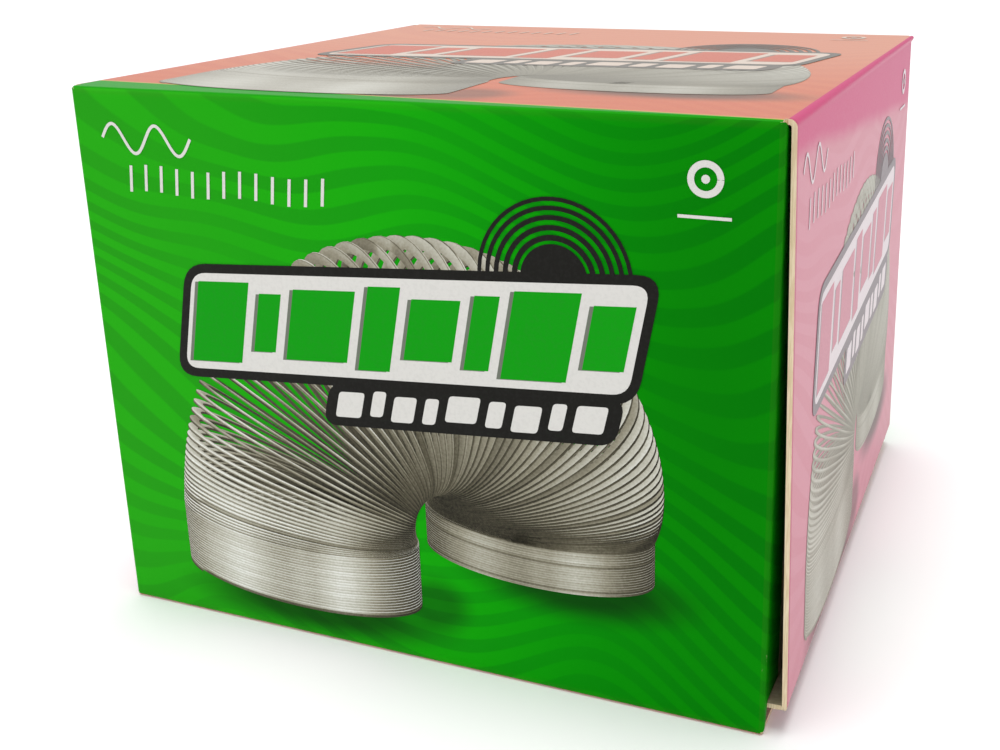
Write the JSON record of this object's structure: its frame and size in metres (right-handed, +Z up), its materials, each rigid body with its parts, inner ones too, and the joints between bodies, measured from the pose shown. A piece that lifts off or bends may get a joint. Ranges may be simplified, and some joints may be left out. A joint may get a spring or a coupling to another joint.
{
  "type": "spring coil toy",
  "caption": "Closed-wound flat-wire steel coil toy standing in its printed tuck-end paperboard carton; both ends of the carton open.",
  "frame": {"origin": "middle of the carton's base, on the outside face of the bottom panel", "axes": "+Z up along the coil's axis, +X to the carton's right end, the front panel faces -Y"},
  "size_m": [0.0794, 0.0758, 0.06],
  "materials": {
    "green_print": "coated board, printed green, satin varnish",
    "orange_print": "coated board, printed orange, satin varnish",
    "pink_print": "coated board, printed pink, satin varnish",
    "plain_board": "uncoated back of the board, matt",
    "spring_steel": "rolled flat wire, bright",
    "clip_steel": "plated sheet, satin"
  },
  "bodies": {
    "sleeve": {"front_panel": "green_print", "back_panel": "green_print", "top_panel": "orange_print", "bottom_panel": "orange_print", "seam_flap": "plain_board"},
    "right_closure": {"right_closure_panel": "pink_print"},
    "right_tuck": {"right_tuck_flap": "pink_print"},
    "right_front_dust": {"right_front_dust_flap": "plain_board"},
    "right_back_dust": {"right_back_dust_flap": "plain_board"},
    "left_closure": {"left_closure_panel": "pink_print"},
    "left_tuck": {"left_tuck_flap": "pink_print"},
    "left_front_dust": {"left_front_dust_flap": "plain_board"},
    "left_back_dust": {"left_back_dust_flap": "plain_board"},
    "coil_lower": {"coil_lower_turns": "spring_steel", "coil_middle_turns": "spring_steel", "lower_end_clip": "clip_steel"},
    "coil_upper": {"coil_upper_turns": "spring_steel", "upper_end_clip": "clip_steel"}
  },
  "joints": [
    {"name": "right_closure_fold", "type": "hinge", "parent": "sleeve", "child": "right_closure", "pos_m": [0.0387, 0, 0.05999], "axis": [0, -1, 0], "range_deg": [-2, 198]},
    {"name": "right_tuck_fold", "type": "hinge", "parent": "right_closure", "child": "right_tuck", "pos_m": [0.04071, 0, 0.00253], "axis": [0, -1, 0], "range_deg": [-0.35, 29.75]},
    {"name": "right_front_dust_fold", "type": "hinge", "parent": "sleeve", "child": "right_front_dust", "pos_m": [0.0379, -0.0379, 0.03], "axis": [0, 0, -1], "range_deg": [-1.05, 99.05]},
    {"name": "right_back_dust_fold", "type": "hinge", "parent": "sleeve", "child": "right_back_dust", "pos_m": [0.0379, 0.0379, 0.03], "axis": [0, 0, 1], "range_deg": [-1.05, 99.05]},
    {"name": "left_closure_fold", "type": "hinge", "parent": "sleeve", "child": "left_closure", "pos_m": [-0.0387, 0, 0.05999], "axis": [0, 1, 0], "range_deg": [0, 200]},
    {"name": "left_tuck_fold", "type": "hinge", "parent": "left_closure", "child": "left_tuck", "pos_m": [-0.0387, 0, 0.00249], "axis": [0, 1, 0], "range_deg": [0, 30.05]},
    {"name": "left_front_dust_fold", "type": "hinge", "parent": "sleeve", "child": "left_front_dust", "pos_m": [-0.0379, -0.0379, 0.03], "axis": [0, 0, 1], "range_deg": [0, 100.05]},
    {"name": "left_back_dust_fold", "type": "hinge", "parent": "sleeve", "child": "left_back_dust", "pos_m": [-0.0379, 0.0379, 0.03], "axis": [0, 0, -1], "range_deg": [0, 100.05]},
    {"name": "coil_shift", "type": "slide", "parent": "sleeve", "child": "coil_lower", "axis": [1, 0, 0], "range_m": [-0.0015, 0.0015]},
    {"name": "coil_stretch", "type": "slide", "parent": "coil_lower", "child": "coil_upper", "axis": [0, 0, 1], "range_m": [0, 0.003], "stiffness_N_per_m": 1, "deforming": ["coil_middle_turns"]}
  ],
  "couplings": [
    {"joint": "right_tuck_fold", "follows": "right_closure_fold", "ratio": 0.15},
    {"joint": "right_front_dust_fold", "follows": "right_closure_fold", "ratio": 0.5},
    {"joint": "right_back_dust_fold", "follows": "right_closure_fold", "ratio": 0.5},
    {"joint": "left_tuck_fold", "follows": "left_closure_fold", "ratio": 0.15},
    {"joint": "left_front_dust_fold", "follows": "left_closure_fold", "ratio": 0.5},
    {"joint": "left_back_dust_fold", "follows": "left_closure_fold", "ratio": 0.5}
  ]
}
